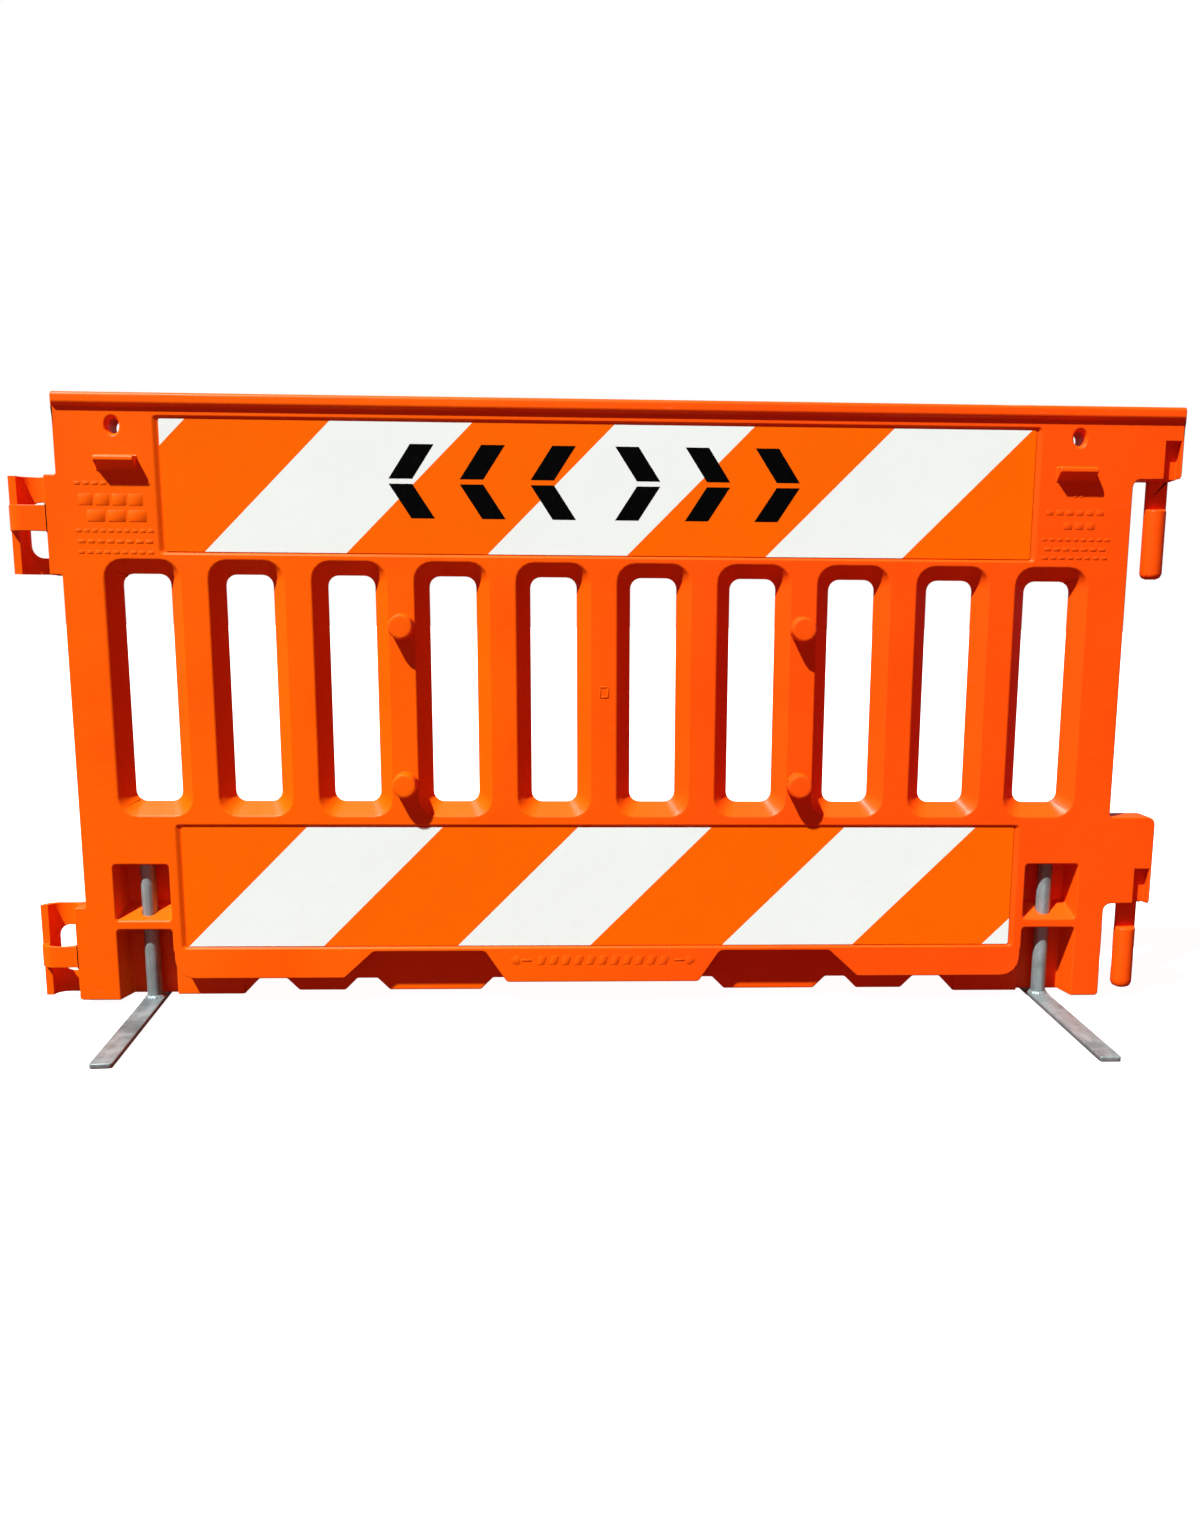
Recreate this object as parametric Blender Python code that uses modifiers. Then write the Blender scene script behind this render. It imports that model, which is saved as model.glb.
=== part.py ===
"""Interlocking pedestrian wall barricade on two swivelling steel feet.

Metres, +Z up, the front faces -Y.  The origin is on the ground, under the centre of the
barricade's box.  The wall is modelled about its own centre line, with z = 0 at the bottom
of its legs, and an empty carries it to its place above the foot bars.
"""
import math

import bmesh
import bpy
from mathutils import Matrix

MM = 0.001
GAP = 0.3 * MM                # air left between pieces that touch
MERGE = 0.05 * MM

# wall moulding
HALF_LENGTH = 826 * MM        # centre line to the end of the panel
THICKNESS = 50 * MM
HEIGHT = 943 * MM             # leg bottom to the top of the rail
RAIL_HEIGHT = 20 * MM
RAIL_OVERHANG = 6 * MM        # how far the rail stands out from each face
RAIL_INSET = 1.5 * MM         # and how far it stops short of each end
CORNER = 12 * MM              # radius of the outline's outer corners

# slots: a mould half forms each side, so they narrow towards the parting plane
SLOT_COUNT = 10
SLOT_PITCH = 156.9 * MM
SLOT_Z = (301 * MM, 699 * MM)
SLOT_WIDTH = 116 * MM
SLOT_RADIUS = 30 * MM
THROAT_INSET = 22.5 * MM      # the throat lies this far inside the mouth
THROAT_RADIUS = 16 * MM

# recesses for the reflective sheeting
RECESS_DEPTH = 4 * MM
RECESS_LENGTH = 1356 * MM
RECESS_HEIGHT = 203 * MM
RECESS_DRAFT = (7 * MM, 2.5 * MM)     # how far its floor lies inside its mouth
UPPER_RECESS_Z = 707 * MM
LOWER_RECESS_Z = 84.5 * MM
SHEET_THICKNESS = 1.2 * MM
SHEET_MARGIN = 1.5 * MM

# warning-light holes, the ledges under them, stacking bosses
LIGHT_X = 737.5 * MM
LIGHT_Z = 895 * MM
LIGHT_HOLE_RADIUS = 9 * MM
LIGHT_SINK_RADIUS = 12 * MM
LIGHT_SINK_DEPTH = 6 * MM
LIGHT_HOLE_STRETCH = 1.25     # taller than wide
LEDGE_X = 734 * MM
LEDGE_SIZE = (60 * MM, 18 * MM, 24 * MM)
LEDGE_LIP = 8 * MM
LEDGE_TOP = 851 * MM
BOSS_X = 313 * MM
BOSS_Z = (353 * MM, 600 * MM)
BOSS_RADIUS = 19.3 * MM
BOSS_HEIGHT = 26 * MM
BOSS_EDGE = 5 * MM

# linking knuckles at the left end: a windowed half shell behind, one half loop in front
BLOCK_END = 844.5 * MM
LOOP_END = 907 * MM
LOOP_INSET = 0.4 * MM         # the loops stand this far back from the wall's faces
LOOP_STEP = 0.3 * MM          # the front loops are this much smaller than the rear shells
LOOP_ROOT = 2 * MM            # and reach this far into them
BORE_X = 871 * MM
BORE_RADIUS = 20.5 * MM
BORE_STRAIGHT = 8 * MM        # straight part between the bore's two round ends
WINDOW_X = (848 * MM, 887 * MM)
WINDOW_RADIUS = 18 * MM       # of its corners towards the end
KNUCKLES = (
    # (bottom, top) of the rear shell, of its window and of the front loop
    ((675 * MM, 822 * MM), (700 * MM, 784 * MM), (739.5 * MM, 778 * MM)),
    ((2 * MM, 152 * MM), (38 * MM, 115 * MM), (54 * MM, 89 * MM)),
)

# linking pins at the right end, each hanging from a tab
TAB_END = 902 * MM
PIN_X = 873.5 * MM
PIN_RADIUS = 17 * MM
PIN_TIP = 9 * MM
TABS = ((834 * MM, HEIGHT - 4 * MM), (156.5 * MM, 301 * MM))   # (bottom, top) of each
PIN_BOTTOMS = (682 * MM, 9 * MM)
RELIEF_SIZE = (24 * MM, 15 * MM, 58 * MM)   # corner recess in a tab's front
PIN_SCOOP = (22 * MM, 45 * MM)              # depth and height, in a pin's front under its tab

# skirt: the front and the rear half end in tabs of their own, with tapered cut-outs
SKIRT_END = 690 * MM
SKIRT_CORNER = 30 * MM
SKIRT_SIDE_Z = 80 * MM        # the skirt's cut reaches this far up beside a pocket
FRONT_TAB_Z = 35 * MM
FRONT_CENTRE_Z = 27 * MM
FRONT_CUT_DEPTH = 32 * MM     # the front half's cuts run past the parting plane
CUTOUT_TOP = 79 * MM
REAR_TAB_Z = 6 * MM
REAR_NOTCH_Z = 26 * MM

# foot pockets in the front half, with a shelf that guides the post
POCKET_X = 735.5 * MM
POCKET_WIDTH = 89 * MM
POCKET_DRAFT = 9 * MM
POCKET_BACK = 19 * MM         # the pockets' back wall, measured from the middle plane
UPPER_POCKET_Z = (130 * MM, 223.5 * MM)
SHELF_RISE = 24 * MM          # the shelf's top climbs towards the back
SHELF_BOTTOM = 117 * MM

# feet: a round post welded on a flat bar, kept in the wall by a retaining ring
POST_X = 732.5 * MM
POST_RADIUS = 12 * MM
POST_CLEARANCE = 0.6 * MM
BAR_LENGTH = 660 * MM
BAR_WIDTH = 32 * MM
BAR_THICKNESS = 8 * MM
WELD_LEG = 3.5 * MM
WALL_LIFT = 9 * MM            # ground to the bottom of the wall's legs
FOOT_DROP = 25 * MM           # how far a foot hangs down when the wall is lifted
CEILING_WEB = 10 * MM         # between the upper pocket and the ring's chamber
RING_RADIUS = 17 * MM
RING_HEIGHT = 4 * MM
RING_GROOVE = 2 * MM
CHAMBER_RADIUS = 18.5 * MM
POST_OVER_RING = 9 * MM
TOE_IN = math.radians(4.5)      # the left foot stands a little turned

ROUND = 32                    # sides of a round part

FRAME_X = (LOOP_END - TAB_END) / 2
RING_BOTTOM = UPPER_POCKET_Z[1] + CEILING_WEB + FOOT_DROP + 2 * MM
POST_TOP = RING_BOTTOM + RING_HEIGHT + POST_OVER_RING
CHAMBER_TOP = POST_TOP + GAP

ORANGE = (1.0, 0.107, 0.004, 1)
SHEETING = (0.96, 0.33, 0.05, 1)
ZINC = (0.45, 0.46, 0.47, 1)
SPRING_STEEL = (0.12, 0.12, 0.13, 1)


# ---------------------------------------------------------------- scene and objects

def clear_scene():
    for old in list(bpy.data.objects):
        bpy.data.objects.remove(old, do_unlink=True)


def new_collection(name):
    group = bpy.data.collections.new(name)
    bpy.context.scene.collection.children.link(group)
    return group


def new_material(name, colour, roughness, metallic=0.0):
    material = bpy.data.materials.new(name)
    material.use_nodes = True
    shader = material.node_tree.nodes["Principled BSDF"]
    shader.inputs["Base Color"].default_value = colour
    shader.inputs["Roughness"].default_value = roughness
    shader.inputs["Metallic"].default_value = metallic
    return material


def new_object(name, mesh, group, parent=None, material=None):
    body = bpy.data.objects.new(name, mesh)
    group.objects.link(body)
    body.parent = parent
    if material:
        mesh.materials.append(material)
    return body


def new_empty(name, group, place, parent=None, turn=0.0):
    empty = bpy.data.objects.new(name, None)
    group.objects.link(empty)
    empty.parent = parent
    empty.location = place
    empty.rotation_euler = (0, 0, turn)
    return empty


def mesh_from(bm, name):
    mesh = bpy.data.meshes.new(name)
    bm.to_mesh(mesh)
    bm.free()
    return mesh


# ---------------------------------------------------------------- shapes

def box(name, low, high):
    bm = bmesh.new()
    bmesh.ops.create_cube(bm, size=1.0)
    size = [b - a for a, b in zip(low, high)]
    centre = [(a + b) / 2 for a, b in zip(low, high)]
    bmesh.ops.transform(bm, matrix=Matrix.Translation(centre) @ Matrix.Diagonal((*size, 1)), verts=bm.verts)
    return mesh_from(bm, name)


def cylinder(name, x, z_low, z_high, radius):
    """An upright cylinder on the wall's middle plane."""
    bm = bmesh.new()
    bmesh.ops.create_cone(bm, cap_ends=True, segments=ROUND, radius1=radius, radius2=radius, depth=z_high - z_low)
    bmesh.ops.translate(bm, verts=bm.verts, vec=(x, 0, (z_low + z_high) / 2))
    return mesh_from(bm, name)


def arc(centre, radius, start, end, steps):
    """Points of an arc in degrees, both ends included."""
    turn = [math.radians(start + (end - start) * i / steps) for i in range(steps + 1)]
    return [(centre[0] + radius * math.cos(t), centre[1] + radius * math.sin(t)) for t in turn]


def rounded(corners, steps=5):
    """A closed outline whose corners (x, z, radius) are rounded by arcs."""
    points = []
    count = len(corners)
    for i, (x, z, radius) in enumerate(corners):
        if radius <= 0:
            points.append((x, z))
            continue
        before, after = corners[i - 1], corners[(i + 1) % count]
        a = math.atan2(before[1] - z, before[0] - x)
        b = math.atan2(after[1] - z, after[0] - x)
        half = abs((b - a + math.pi) % (2 * math.pi) - math.pi) / 2
        middle = math.atan2(math.sin(a) + math.sin(b), math.cos(a) + math.cos(b))
        reach = radius / math.sin(half)
        centre = (x + reach * math.cos(middle), z + reach * math.sin(middle))
        turn = math.pi / 2 - half
        side = 1 if (b - a) % (2 * math.pi) > math.pi else -1
        first = math.degrees(middle + math.pi - side * turn)
        last = math.degrees(middle + math.pi + side * turn)
        points += arc(centre, radius, first, last, steps)
    return points


def plate(name, outline, depth_from, depth_to, plan=False):
    """A flat outline given a thickness: along Y from an (x, z) outline, or along Z from (x, y)."""
    curve = bpy.data.curves.new(name, "CURVE")
    curve.dimensions = "2D"
    curve.fill_mode = "BOTH"
    curve.extrude = (depth_to - depth_from) / 2
    spline = curve.splines.new("POLY")
    spline.points.add(len(outline) - 1)
    for point, (x, z) in zip(spline.points, outline):
        point.co = (x, z, 0, 1)
    spline.use_cyclic_u = True
    guide = bpy.data.objects.new(name, curve)
    bpy.context.scene.collection.objects.link(guide)
    bpy.context.view_layer.update()
    mesh = bpy.data.meshes.new_from_object(guide.evaluated_get(bpy.context.evaluated_depsgraph_get()))
    bpy.data.objects.remove(guide)
    bm = bmesh.new()
    bm.from_mesh(mesh)
    bmesh.ops.remove_doubles(bm, verts=bm.verts, dist=MERGE)
    if not plan:
        bmesh.ops.rotate(bm, verts=bm.verts, matrix=Matrix.Rotation(math.radians(90), 3, "X"))
    middle = (depth_from + depth_to) / 2
    bmesh.ops.translate(bm, verts=bm.verts, vec=(0, 0, middle) if plan else (0, middle, 0))
    bmesh.ops.dissolve_degenerate(bm, dist=MERGE, edges=bm.edges)
    bmesh.ops.dissolve_limit(bm, angle_limit=math.radians(0.5), verts=bm.verts, edges=bm.edges)
    bmesh.ops.recalc_face_normals(bm, faces=bm.faces)
    bm.to_mesh(mesh)
    bm.free()
    return mesh


def loft(name, outlines):
    """A closed solid through outlines [(y, [(x, z), ...])] with equal numbers of points."""
    bm = bmesh.new()
    rings = [[bm.verts.new((x, y, z)) for x, z in points] for y, points in outlines]
    for low, high in zip(rings, rings[1:]):
        for i in range(len(low)):
            j = (i + 1) % len(low)
            bm.faces.new((low[i], low[j], high[j], high[i]))
    bm.faces.new(rings[0][::-1])
    bm.faces.new(rings[-1])
    bmesh.ops.recalc_face_normals(bm, faces=bm.faces)
    return mesh_from(bm, name)


def rectangle(x_low, x_high, z_low, z_high, radius, steps=5):
    corners = ((x_low, z_low), (x_high, z_low), (x_high, z_high), (x_low, z_high))
    return rounded([(x, z, radius) for x, z in corners], steps)


def turned(name, profile, group, parent, material=None):
    """A round part: a (radius, z) profile, top to bottom, turned by a Screw modifier."""
    bm = bmesh.new()
    points = [bm.verts.new((radius, 0, z)) for radius, z in profile]
    for a, b in zip(points, points[1:]):
        bm.edges.new((a, b))
    if profile[0][0] > 0:
        bm.edges.new((points[-1], points[0]))
    body = new_object(name, mesh_from(bm, name), group, parent, material)
    screw = body.modifiers.new("Turn", "SCREW")
    screw.angle = 2 * math.pi
    screw.steps = screw.render_steps = ROUND
    screw.use_merge_vertices = True
    screw.merge_threshold = 0.01 * MM
    return body


class Carver:
    """Joins and cuts one object's mesh, keeping the tools in the cutters' collection."""

    def __init__(self, body, cutters, parent):
        self.body, self.cutters, self.parent = body, cutters, parent

    def apply(self, tool, operation):
        tool.hide_render = True
        tool.display_type = "WIRE"
        step = self.body.modifiers.new(tool.name, "BOOLEAN")
        step.operation = operation
        step.solver = "EXACT"
        step.object = tool

    def join(self, mesh):
        self.apply(new_object(f"tool_{mesh.name}", mesh, self.cutters, self.parent), "UNION")

    def cut(self, mesh):
        self.apply(new_object(f"tool_{mesh.name}", mesh, self.cutters, self.parent), "DIFFERENCE")

    def join_turned(self, name, profile, place, lean=0):
        """Joins a turned profile that stands at place and leans over towards -Y by an angle."""
        tool = turned(f"tool_{name}", profile, self.cutters, self.parent)
        tool.location = place
        tool.rotation_euler = (math.radians(lean), 0, 0)
        self.apply(tool, "UNION")


# ---------------------------------------------------------------- the wall's outlines

def wall_outline():
    """The moulding's outline, anticlockwise from the left leg, with the rear half's skirt."""
    half = [(590 * MM, 0, 6 * MM), (565 * MM, REAR_NOTCH_Z, 6 * MM), (520 * MM, REAR_NOTCH_Z, 6 * MM),
            (500 * MM, REAR_TAB_Z, 6 * MM), (425 * MM, REAR_TAB_Z, 6 * MM), (405 * MM, REAR_NOTCH_Z, 6 * MM),
            (372 * MM, REAR_NOTCH_Z, 6 * MM), (352 * MM, REAR_TAB_Z, 6 * MM), (202 * MM, REAR_TAB_Z, 6 * MM),
            (182 * MM, REAR_NOTCH_Z, 6 * MM)]
    skirt = [(-x, z, r) for x, z, r in half] + half[::-1]
    lower_tab, upper_tab = TABS[1], TABS[0]
    right = [(HALF_LENGTH, 0, 6 * MM),
             (HALF_LENGTH, lower_tab[0], CORNER), (TAB_END, lower_tab[0], 6 * MM),
             (TAB_END, lower_tab[1], CORNER), (HALF_LENGTH, lower_tab[1], 5 * MM),
             (HALF_LENGTH, upper_tab[0], CORNER), (TAB_END, upper_tab[0], 8 * MM), (TAB_END, upper_tab[1], 0)]
    upper_block, lower_block = [(shell[0] - MM, shell[1] + MM) for shell, window, loop in KNUCKLES]
    left = [(-HALF_LENGTH, upper_tab[1], 0),
            (-HALF_LENGTH, upper_block[1], 3 * MM), (-BLOCK_END, upper_block[1], 3 * MM),
            (-BLOCK_END, upper_block[0], 3 * MM), (-HALF_LENGTH, upper_block[0], 3 * MM),
            (-HALF_LENGTH, lower_block[1], 3 * MM), (-BLOCK_END, lower_block[1], 3 * MM)]
    return rounded([(-BLOCK_END, 0, 6 * MM)] + skirt + right + left, 4)


def front_skirt_cutter():
    """What the front half lacks below its own tabs, with room beside the foot pockets."""
    low = -10 * MM
    side = SKIRT_END + 20 * MM
    half = [(side, low, 0), (side, SKIRT_SIDE_Z, 0), (SKIRT_END, SKIRT_SIDE_Z, 0),
            (SKIRT_END, FRONT_TAB_Z, SKIRT_CORNER), (420 * MM, FRONT_TAB_Z, 8 * MM),
            (372 * MM, CUTOUT_TOP, 10 * MM), (192 * MM, CUTOUT_TOP, 10 * MM), (157 * MM, FRONT_CENTRE_Z, 8 * MM)]
    outline = rounded(half + [(-x, z, r) for x, z, r in half[::-1]], 4)
    return plate("front_skirt", outline, -THICKNESS / 2 - MM, -THICKNESS / 2 + FRONT_CUT_DEPTH)


# ---------------------------------------------------------------- the wall

def slot_cutter(index):
    x = (index - (SLOT_COUNT - 1) / 2) * SLOT_PITCH
    half = SLOT_WIDTH / 2
    mouth = (x - half, x + half, SLOT_Z[0], SLOT_Z[1])
    throat = (mouth[0] + THROAT_INSET, mouth[1] - THROAT_INSET, mouth[2] + THROAT_INSET, mouth[3] - THROAT_INSET)
    reach = 1 * MM
    grow = reach * THROAT_INSET / (THICKNESS / 2)
    wide = (mouth[0] - grow, mouth[1] + grow, mouth[2] - grow, mouth[3] + grow)
    outer = rectangle(*wide, SLOT_RADIUS)
    inner = rectangle(*throat, THROAT_RADIUS)
    end = THICKNESS / 2 + reach
    return loft(f"slot_{index + 1}", [(-end, outer), (0, inner), (end, outer)])


def recess_outlines(z_low):
    """A sheeting recess's outline at its mouth, and at its drafted floor as limits."""
    half = RECESS_LENGTH / 2
    inset_x, inset_z = RECESS_DRAFT
    mouth = (-half, half, z_low, z_low + RECESS_HEIGHT)
    return mouth, (mouth[0] + inset_x, mouth[1] - inset_x, mouth[2] + inset_z, mouth[3] - inset_z)


def recess_cutter(name, z_low, side):
    """A shallow drafted pocket for sheeting on the front (side -1) or the back (side 1)."""
    mouth, floor = recess_outlines(z_low)
    reach = 1 * MM
    wide = [a + (a - b) * reach / RECESS_DEPTH for a, b in zip(mouth, floor)]
    face = side * THICKNESS / 2
    outer, inner = rectangle(*wide, 6 * MM, 3), rectangle(*floor, 4 * MM, 3)
    return loft(name, [(face + side * reach, outer), (face - side * RECESS_DEPTH, inner)])


def pocket_cutter(name, side, z_low, z_high, floor_rise, drop=0.0):
    """A drafted pocket from the front; its floor climbs by floor_rise at the back."""
    x = side * POCKET_X
    half = POCKET_WIDTH / 2
    front = -THICKNESS / 2 - 1 * MM
    mouth = rectangle(x - half, x + half, z_low - drop, z_high, 5 * MM, 3)
    back = rectangle(x - half + POCKET_DRAFT, x + half - POCKET_DRAFT, z_low - drop + floor_rise,
                     z_high - POCKET_DRAFT / 2, 5 * MM, 3)
    return loft(name, [(front, mouth), (POCKET_BACK, back)])


def light_hole_cutter(name, x):
    """A through hole, a little taller than wide, with a countersunk mouth."""
    def ellipse(radius):
        return [(px, (pz - LIGHT_Z) * LIGHT_HOLE_STRETCH + LIGHT_Z)
                for px, pz in arc((x, LIGHT_Z), radius, 0, 360, 24)[:-1]]
    middle = THICKNESS / 2
    slope = (LIGHT_SINK_RADIUS - LIGHT_HOLE_RADIUS) / LIGHT_SINK_DEPTH
    return loft(name, [(-middle - MM, ellipse(LIGHT_SINK_RADIUS + slope * MM)),
                       (-middle + LIGHT_SINK_DEPTH, ellipse(LIGHT_HOLE_RADIUS)),
                       (middle + MM, ellipse(LIGHT_HOLE_RADIUS))])


def stadium(x, straight, radius):
    """A plan outline of two half circles joined by straight sides, centred on (x, 0)."""
    half = straight / 2
    return arc((x + half, 0), radius, -90, 90, 12) + arc((x - half, 0), radius, 90, 270, 12)


def knuckle(name, z_low, z_high, rear):
    """A half loop: the end of a rounded block, from the parting plane to one face.

    A front loop is a touch smaller and reaches a little into the rear shell it is joined to.
    """
    centre = LOOP_END - THICKNESS / 2 + LOOP_INSET
    radius = THICKNESS / 2 - LOOP_INSET - (0 if rear else LOOP_STEP)
    inner = HALF_LENGTH - 10 * MM
    turn = (180, 90) if rear else (180, 270)
    side = 1 if rear else -1
    outline = arc((-centre, 0), radius, *turn, 10) + [(-inner, side * radius)]
    if rear:
        outline = (outline + [(-inner, 0)])[::-1]
    else:
        outline = [(-centre - radius, LOOP_ROOT)] + outline + [(-inner, LOOP_ROOT)]
    return plate(name, outline, z_low, z_high, plan=True)


def window_cutter(name, z_low, z_high):
    """The opening through a knuckle's rear shell, from its bore to the back."""
    near, far = WINDOW_X
    outline = rounded([(-far, z_low, WINDOW_RADIUS), (-near, z_low, 3 * MM), (-near, z_high, 3 * MM),
                       (-far, z_high, WINDOW_RADIUS)], 5)
    return plate(name, outline, MM, THICKNESS / 2 + MM)


def build_wall(group, cutters, frame, material):
    middle = THICKNESS / 2
    panel = plate("wall_panel", wall_outline(), -middle, middle)
    wall = new_object("wall_panel", panel, group, frame, material)
    carve = Carver(wall, cutters, frame)
    carve.cut(front_skirt_cutter())

    rail = rectangle(-middle - RAIL_OVERHANG, middle + RAIL_OVERHANG, HEIGHT - RAIL_HEIGHT, HEIGHT, 6 * MM, 4)
    rail_mesh = plate("rail", rail, -HALF_LENGTH + RAIL_INSET, TAB_END - RAIL_INSET)
    rail_mesh.transform(Matrix.Rotation(math.radians(-90), 4, "Z"))
    carve.join(rail_mesh)

    for level, (shell, window, loop) in enumerate(KNUCKLES):
        carve.join(knuckle(f"shell_{level}", *shell, rear=True))
        carve.join(knuckle(f"loop_{level}", *loop, rear=False))
        bore = stadium(-BORE_X, BORE_STRAIGHT, BORE_RADIUS)
        carve.cut(plate(f"bore_{level}", bore, shell[0] - 10 * MM, shell[1] + 10 * MM, plan=True))
        carve.cut(window_cutter(f"window_{level}", *window))

    for level, (tab, pin_bottom) in enumerate(zip(TABS, PIN_BOTTOMS)):
        profile = [(0, tab[0] + 10 * MM), (PIN_RADIUS, tab[0] + 10 * MM), (PIN_RADIUS, pin_bottom + PIN_TIP),
                   (PIN_RADIUS - 0.3 * PIN_TIP, pin_bottom + 0.3 * PIN_TIP), (PIN_RADIUS - PIN_TIP, pin_bottom),
                   (0, pin_bottom)]
        carve.join_turned(f"pin_{level}", profile, place=(PIN_X, 0, 0))
        relief_x = TAB_END - 4 * MM
        carve.cut(box(f"relief_{level}", (relief_x - RELIEF_SIZE[0], -middle - 1 * MM, tab[0] - 1 * MM),
                      (relief_x, -middle + RELIEF_SIZE[1], tab[0] + RELIEF_SIZE[2])))
        scoop_depth, scoop_height = PIN_SCOOP
        carve.cut(box(f"scoop_{level}", (PIN_X - PIN_RADIUS - MM, -middle - MM, tab[0] - scoop_height),
                      (PIN_X + PIN_RADIUS + MM, -middle + scoop_depth, tab[0] + 0.5 * MM)))

    for side, word in ((-1, "left"), (1, "right")):
        carve.join(ledge(f"{word}_ledge", side * LEDGE_X))
        for level, z in enumerate(BOSS_Z):
            profile = [(0, BOSS_HEIGHT), (BOSS_RADIUS - BOSS_EDGE, BOSS_HEIGHT),
                       (BOSS_RADIUS - 0.3 * BOSS_EDGE, BOSS_HEIGHT - 0.3 * BOSS_EDGE),
                       (BOSS_RADIUS, BOSS_HEIGHT - BOSS_EDGE), (BOSS_RADIUS + MM, -5 * MM), (0, -5 * MM)]
            carve.join_turned(f"{word}_boss_{level}", profile, place=(side * BOSS_X, -middle, z), lean=90)

    for index in range(SLOT_COUNT):
        carve.cut(slot_cutter(index))
    for side, word in ((-1, "front"), (1, "rear")):
        carve.cut(recess_cutter(f"{word}_upper_recess", UPPER_RECESS_Z, side))
        carve.cut(recess_cutter(f"{word}_lower_recess", LOWER_RECESS_Z, side))

    for side, word in ((-1, "left"), (1, "right")):
        carve.cut(pocket_cutter(f"{word}_upper_pocket", side, *UPPER_POCKET_Z, SHELF_RISE))
        carve.cut(pocket_cutter(f"{word}_lower_pocket", side, 0, SHELF_BOTTOM, 0, drop=20 * MM))
        post_x = side * POST_X
        carve.cut(cylinder(f"{word}_post_hole", post_x, SHELF_BOTTOM - 20 * MM, RING_BOTTOM,
                           POST_RADIUS + POST_CLEARANCE))
        carve.cut(cylinder(f"{word}_ring_chamber", post_x, UPPER_POCKET_Z[1] + CEILING_WEB, CHAMBER_TOP,
                           CHAMBER_RADIUS))
        carve.cut(light_hole_cutter(f"{word}_light_hole", side * LIGHT_X))
    return wall


def ledge(name, x):
    """A shelf nose with a flat top, a rounded lip and an underside that runs back to the face."""
    width, depth, height = LEDGE_SIZE
    face = -THICKNESS / 2
    profile = rounded([(face + 3 * MM, LEDGE_TOP - height, 0), (face - depth, LEDGE_TOP - LEDGE_LIP, 3 * MM),
                       (face - depth, LEDGE_TOP, 4 * MM), (face + 3 * MM, LEDGE_TOP, 0)], 4)
    mesh = plate(name, profile, -width / 2, width / 2)
    mesh.transform(Matrix.Rotation(math.radians(-90), 4, "Z"))
    mesh.transform(Matrix.Diagonal((-1, -1, 1, 1)))
    mesh.transform(Matrix.Translation((x, 0, 0)))
    return mesh


# ---------------------------------------------------------------- sheeting and feet

def build_sheeting(group, frame, material):
    """Retroreflective sheets laid in the recesses."""
    margin = (SHEET_MARGIN, -SHEET_MARGIN, SHEET_MARGIN, -SHEET_MARGIN)
    for side, face in ((-1, "front"), (1, "rear")):
        for z, level in ((UPPER_RECESS_Z, "upper"), (LOWER_RECESS_Z, "lower")):
            mouth, floor = recess_outlines(z)
            outline = rectangle(*[limit + inset for limit, inset in zip(floor, margin)], 3 * MM, 3)
            inner = side * (THICKNESS / 2 - RECESS_DEPTH + GAP)
            outer = inner + side * SHEET_THICKNESS
            mesh = plate(f"sheeting_{face}_{level}", outline, min(inner, outer), max(inner, outer))
            new_object(f"sheeting_{face}_{level}", mesh, group, frame, material)


def build_foot(word, side, group, cutters, frame, zinc, spring_steel):
    """One foot: its bar and post turn together about the post's axis."""
    pivot = new_empty(f"{word}_pivot", group, (side * POST_X, 0, 0), frame, TOE_IN if side < 0 else 0.0)

    bar = box(f"{word}_foot_bar", (-BAR_WIDTH / 2, -BAR_LENGTH / 2, -WALL_LIFT),
              (BAR_WIDTH / 2, BAR_LENGTH / 2, -WALL_LIFT + BAR_THICKNESS))
    bar_body = new_object(f"{word}_foot_bar", bar, group, pivot, zinc)
    edge = bar_body.modifiers.new("Edge", "BEVEL")
    edge.width = 1.2 * MM
    edge.segments = 2

    low = -WALL_LIFT + BAR_THICKNESS + GAP
    groove_low, groove_high = RING_BOTTOM - GAP, RING_BOTTOM + RING_HEIGHT + GAP
    neck = POST_RADIUS - RING_GROOVE
    post = [(0, POST_TOP), (POST_RADIUS - 1.5 * MM, POST_TOP), (POST_RADIUS, POST_TOP - 1.5 * MM),
            (POST_RADIUS, groove_high), (neck, groove_high), (neck, groove_low), (POST_RADIUS, groove_low),
            (POST_RADIUS, low + WELD_LEG), (POST_RADIUS + WELD_LEG, low), (0, low)]
    turned(f"{word}_foot_post", post, group, pivot, zinc)

    ring = [(neck + GAP, RING_BOTTOM + RING_HEIGHT), (RING_RADIUS, RING_BOTTOM + RING_HEIGHT),
            (RING_RADIUS, RING_BOTTOM), (neck + GAP, RING_BOTTOM)]
    turned(f"{word}_retaining_ring", ring, group, pivot, spring_steel)


def main():
    clear_scene()
    group = new_collection("wall_barricade")
    cutters = new_collection("cutters")
    frame = new_empty("wall_frame", group, (FRAME_X, 0, WALL_LIFT))
    plastic = new_material("orange_polyethylene", ORANGE, 0.42)
    sheeting = new_material("reflective_sheeting", SHEETING, 0.3)
    zinc = new_material("zinc_plate", ZINC, 0.35, 1.0)
    spring_steel = new_material("spring_steel", SPRING_STEEL, 0.4, 1.0)
    build_wall(group, cutters, frame, plastic)
    build_sheeting(group, frame, sheeting)
    for word, side in (("left", -1), ("right", 1)):
        build_foot(word, side, group, cutters, frame, zinc, spring_steel)


main()
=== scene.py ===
"""Interlocking orange wall barricade on two swivelling steel feet.

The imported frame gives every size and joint.  Around it this script makes the finished moulding,
the raised marks, the reflective sheeting, the stencilled arrows and the plated steel feet.
"""
import math

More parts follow.
